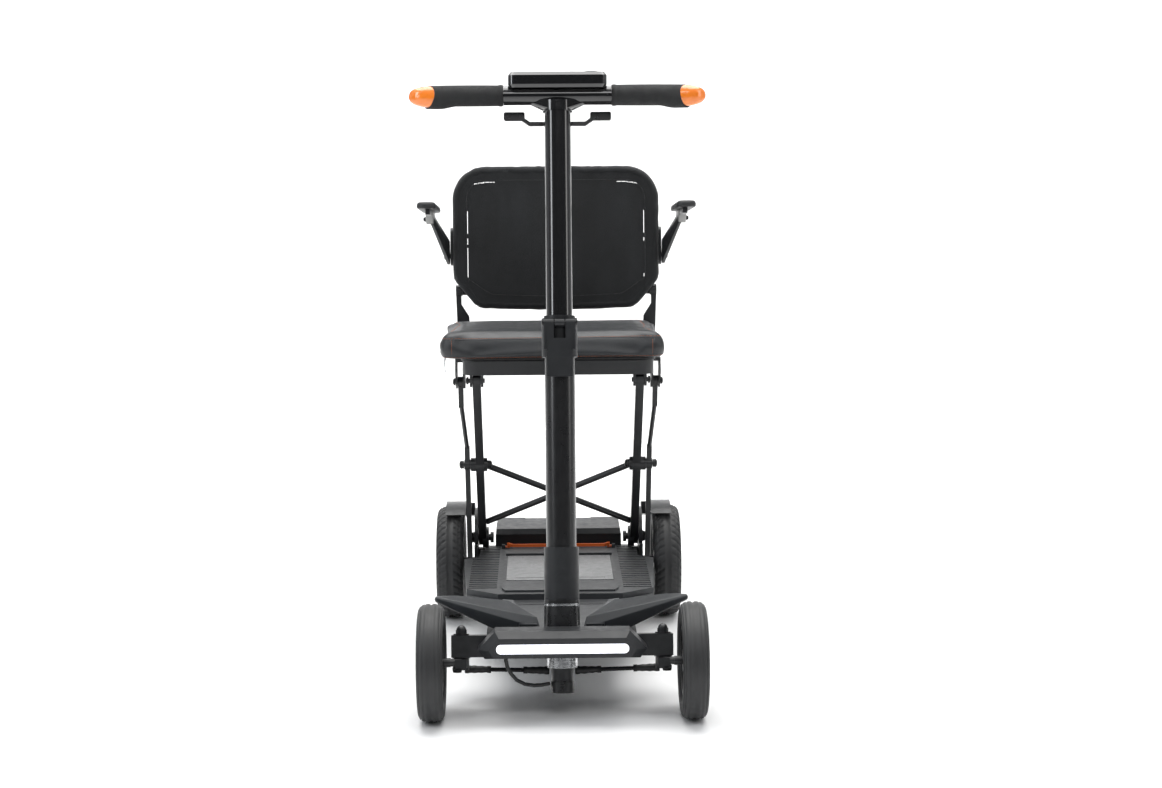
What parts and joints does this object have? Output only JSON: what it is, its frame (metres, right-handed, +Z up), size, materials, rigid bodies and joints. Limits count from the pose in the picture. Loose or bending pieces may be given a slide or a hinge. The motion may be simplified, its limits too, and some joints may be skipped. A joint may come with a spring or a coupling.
{
  "type": "mobility scooter",
  "caption": "Folding mobility scooter with a telescopic tiller, looped handlebar, padded seat with mesh backrest, swing-up armrests, flat floorboard and scissor seat carrier on wheels.",
  "frame": {"origin": "on the floor under the middle of the overall box, midway across the scooter and midway between its front and rear ends", "axes": "+X across, -Y towards the scooter's front, +Y towards its rear, +Z up"},
  "size_m": [0.488, 0.91, 0.9861],
  "materials": {
    "frame_paint": "satin black powder coat",
    "tube_gloss": "gloss black lacquer",
    "dark_plastic": "fine moulded grain",
    "deck_plastic": "matte with raised ribs",
    "wing_plastic": "matte slate grey",
    "cap_plastic": "matte light grey",
    "gloss_trim": "gloss",
    "orange_plastic": "gloss orange",
    "lens_white": "frosted white",
    "display_glass": "dark tinted",
    "grip_rubber": "diagonal hatch texture",
    "tyre_rubber": "ribbed tread",
    "rim_plastic": "dark grey",
    "steel": "brushed",
    "cast_alloy": "bead blasted",
    "battery_case": "plain",
    "cable_rubber": "smooth",
    "seat_fabric": "woven with orange stitching",
    "mesh_fabric": "open mesh",
    "pad_foam": "soft moulded foam"
  },
  "bodies": {
    "root": {"chassis_frame": "frame_paint", "battery_pack": "battery_case", "controller": "cast_alloy", "deck_shell": "deck_plastic", "front_beam": "frame_paint", "bumper_cover": "dark_plastic", "headlight_lens": "lens_white", "front_wings": "wing_plastic", "bearing_ring": "steel", "sensor_cable": "cable_rubber", "axle_housing": "frame_paint", "drive_motor": "cast_alloy", "motor_cover": "dark_plastic", "motor_cover_lid": "dark_plastic", "rear_brackets": "frame_paint", "leg_bolts": "frame_paint", "rear_fenders": "wing_plastic"},
    "hatch": {"deck_hatch": "deck_plastic"},
    "handle": {"release_handle": "orange_plastic"},
    "column": {"steering_column": "frame_paint", "head_collar": "dark_plastic", "column_cap": "dark_plastic", "fold_ring": "steel"},
    "tie_rod_left": {"tie_rod_left": "cable_rubber"},
    "tie_rod_right": {"tie_rod_right": "cable_rubber"},
    "stub_axle_left": {"knuckle_left": "frame_paint"},
    "stub_axle_right": {"knuckle_right": "frame_paint"},
    "front_wheel_left": {"front_tyre_left": "tyre_rubber", "front_rim_left": "rim_plastic"},
    "front_wheel_right": {"front_tyre_right": "tyre_rubber", "front_rim_right": "rim_plastic"},
    "rear_wheel_left": {"rear_tyre_left": "tyre_rubber", "rear_rim_left": "rim_plastic"},
    "rear_wheel_right": {"rear_tyre_right": "tyre_rubber", "rear_rim_right": "rim_plastic"},
    "tiller": {"lower_tube": "tube_gloss", "clamp_collar": "dark_plastic"},
    "sleeve": {"lock_sleeve": "dark_plastic"},
    "lever": {"cam_lever": "dark_plastic"},
    "upper": {"upper_tube": "tube_gloss", "handlebar": "gloss_trim", "hand_grips": "grip_rubber", "grip_lenses": "orange_plastic", "console_case": "gloss_trim", "console_display": "display_glass"},
    "power": {"power_button": "orange_plastic"},
    "horn": {"horn_button": "cap_plastic"},
    "dial": {"speed_dial": "dark_plastic"},
    "key": {"ignition_key": "steel"},
    "throttle": {"throttle_lever": "gloss_trim"},
    "legs": {"leg_frame": "frame_paint"},
    "struts": {"seat_struts": "frame_paint"},
    "seat": {"seat_frame": "frame_paint", "seat_cushion": "seat_fabric"},
    "back": {"back_frame": "frame_paint", "back_mesh": "mesh_fabric"},
    "arm_left": {"armrest_left": "frame_paint", "arm_pad_left": "pad_foam"},
    "arm_right": {"armrest_right": "frame_paint", "arm_pad_right": "pad_foam"}
  },
  "joints": [
    {"name": "hatch_hinge", "type": "hinge", "parent": "root", "child": "hatch", "pos_m": [0, 0.036, 0.124], "axis": [-1, 0, 0], "range_deg": [-80, 0]},
    {"name": "handle_hinge", "type": "hinge", "parent": "root", "child": "handle", "pos_m": [0, 0.319, 0.129], "axis": [-1, 0, 0], "range_deg": [0, 60]},
    {"name": "steering", "type": "hinge", "parent": "root", "child": "column", "pos_m": [0, -0.34592, 0.09816], "axis": [0, 0.1908, 0.9816], "range_deg": [-30, 30]},
    {"name": "kingpin_left", "type": "hinge", "parent": "root", "child": "stub_axle_left", "pos_m": [-0.155, -0.34592, 0.09816], "axis": [0, 0.1908, 0.9816], "range_deg": [-30, 30]},
    {"name": "kingpin_right", "type": "hinge", "parent": "root", "child": "stub_axle_right", "pos_m": [0.155, -0.34592, 0.09816], "axis": [0, 0.1908, 0.9816], "range_deg": [-30, 30]},
    {"name": "tie_rod_left_ball", "type": "hinge", "parent": "column", "child": "tie_rod_left", "pos_m": [-0.008, -0.31415, 0.06245], "axis": [0, 0.1908, 0.9816], "range_deg": [-30, 30]},
    {"name": "tie_rod_right_ball", "type": "hinge", "parent": "column", "child": "tie_rod_right", "pos_m": [0.008, -0.31415, 0.06245], "axis": [0, 0.1908, 0.9816], "range_deg": [-30, 30]},
    {"name": "front_wheel_left_spin", "type": "hinge", "parent": "stub_axle_left", "child": "front_wheel_left", "pos_m": [-0.2, -0.365, 0.09], "axis": [1, 0, 0], "continuous": true},
    {"name": "front_wheel_right_spin", "type": "hinge", "parent": "stub_axle_right", "child": "front_wheel_right", "pos_m": [0.2, -0.365, 0.09], "axis": [1, 0, 0], "continuous": true},
    {"name": "rear_wheel_left_spin", "type": "hinge", "parent": "root", "child": "rear_wheel_left", "pos_m": [-0.197, 0.325, 0.1015], "axis": [1, 0, 0], "continuous": true},
    {"name": "rear_wheel_right_spin", "type": "hinge", "parent": "root", "child": "rear_wheel_right", "pos_m": [0.197, 0.325, 0.1015], "axis": [1, 0, 0], "continuous": true},
    {"name": "seat_fold", "type": "hinge", "parent": "root", "child": "legs", "pos_m": [0, 0.325, 0.146], "axis": [1, 0, 0], "range_deg": [0, 48.2]},
    {"name": "strut_pivot", "type": "hinge", "parent": "legs", "child": "struts", "pos_m": [0, 0.19905, 0.30265], "axis": [1, 0, 0], "range_deg": [0, 12.4]},
    {"name": "seat_level", "type": "hinge", "parent": "legs", "child": "seat", "pos_m": [0, 0.06496, 0.46942], "axis": [1, 0, 0], "range_deg": [-48.2, 0]},
    {"name": "back_fold", "type": "hinge", "parent": "seat", "child": "back", "pos_m": [0, 0.41696, 0.594], "axis": [1, 0, 0], "range_deg": [0, 93]},
    {"name": "tiller_fold", "type": "hinge", "parent": "column", "child": "tiller", "pos_m": [0, -0.29883, 0.16745], "axis": [-1, 0, 0], "range_deg": [0, 49]},
    {"name": "armrest_left_swing", "type": "hinge", "parent": "back", "child": "arm_left", "pos_m": [0, 0.41656, 0.65828], "axis": [-1, 0, 0], "range_deg": [0, 90]},
    {"name": "armrest_right_swing", "type": "hinge", "parent": "back", "child": "arm_right", "pos_m": [0, 0.41656, 0.65828], "axis": [-1, 0, 0], "range_deg": [0, 90]},
    {"name": "telescope", "type": "slide", "parent": "tiller", "child": "upper", "axis": [0, 0.1908, 0.9816], "range_m": [-0.18, 0]},
    {"name": "lock_sleeve_slide", "type": "slide", "parent": "tiller", "child": "sleeve", "axis": [0, 0.1908, 0.9816], "range_m": [0, 0.025]},
    {"name": "cam_lever_hinge", "type": "hinge", "parent": "tiller", "child": "lever", "pos_m": [0, -0.28211, 0.60225], "axis": [-1, 0, 0], "range_deg": [0, 110]},
    {"name": "throttle_pivot", "type": "hinge", "parent": "upper", "child": "throttle", "pos_m": [0, -0.15916, 0.90434], "axis": [0, 0.1908, 0.9816], "range_deg": [-15, 15], "stiffness_Nm_per_rad": 1.2},
    {"name": "power_press", "type": "slide", "parent": "upper", "child": "power", "axis": [0, 0.0698, 0.9976], "range_m": [-0.0015, 0], "stiffness_N_per_m": 600, "springref_m": 0.0005},
    {"name": "horn_press", "type": "slide", "parent": "upper", "child": "horn", "axis": [0, 0.0698, 0.9976], "range_m": [-0.0015, 0], "stiffness_N_per_m": 600, "springref_m": 0.0005},
    {"name": "dial_turn", "type": "hinge", "parent": "upper", "child": "dial", "pos_m": [0.053, -0.16216, 0.97773], "axis": [0, 0.0698, 0.9976], "range_deg": [0, 270]},
    {"name": "key_turn", "type": "hinge", "parent": "upper", "child": "key", "pos_m": [0.054, -0.13622, 0.97592], "axis": [0, 0.0698, 0.9976], "range_deg": [0, 60]}
  ],
  "couplings": [
    {"joint": "kingpin_left", "follows": "steering", "ratio": 1},
    {"joint": "kingpin_right", "follows": "steering", "ratio": 1},
    {"joint": "tie_rod_left_ball", "follows": "steering", "ratio": -1},
    {"joint": "tie_rod_right_ball", "follows": "steering", "ratio": -1},
    {"joint": "strut_pivot", "follows": "seat_fold", "ratio": 0.25726},
    {"joint": "seat_level", "follows": "seat_fold", "ratio": -1},
    {"joint": "back_fold", "follows": "seat_fold", "ratio": 1.9295},
    {"joint": "tiller_fold", "follows": "seat_fold", "ratio": 1.0166}
  ]
}
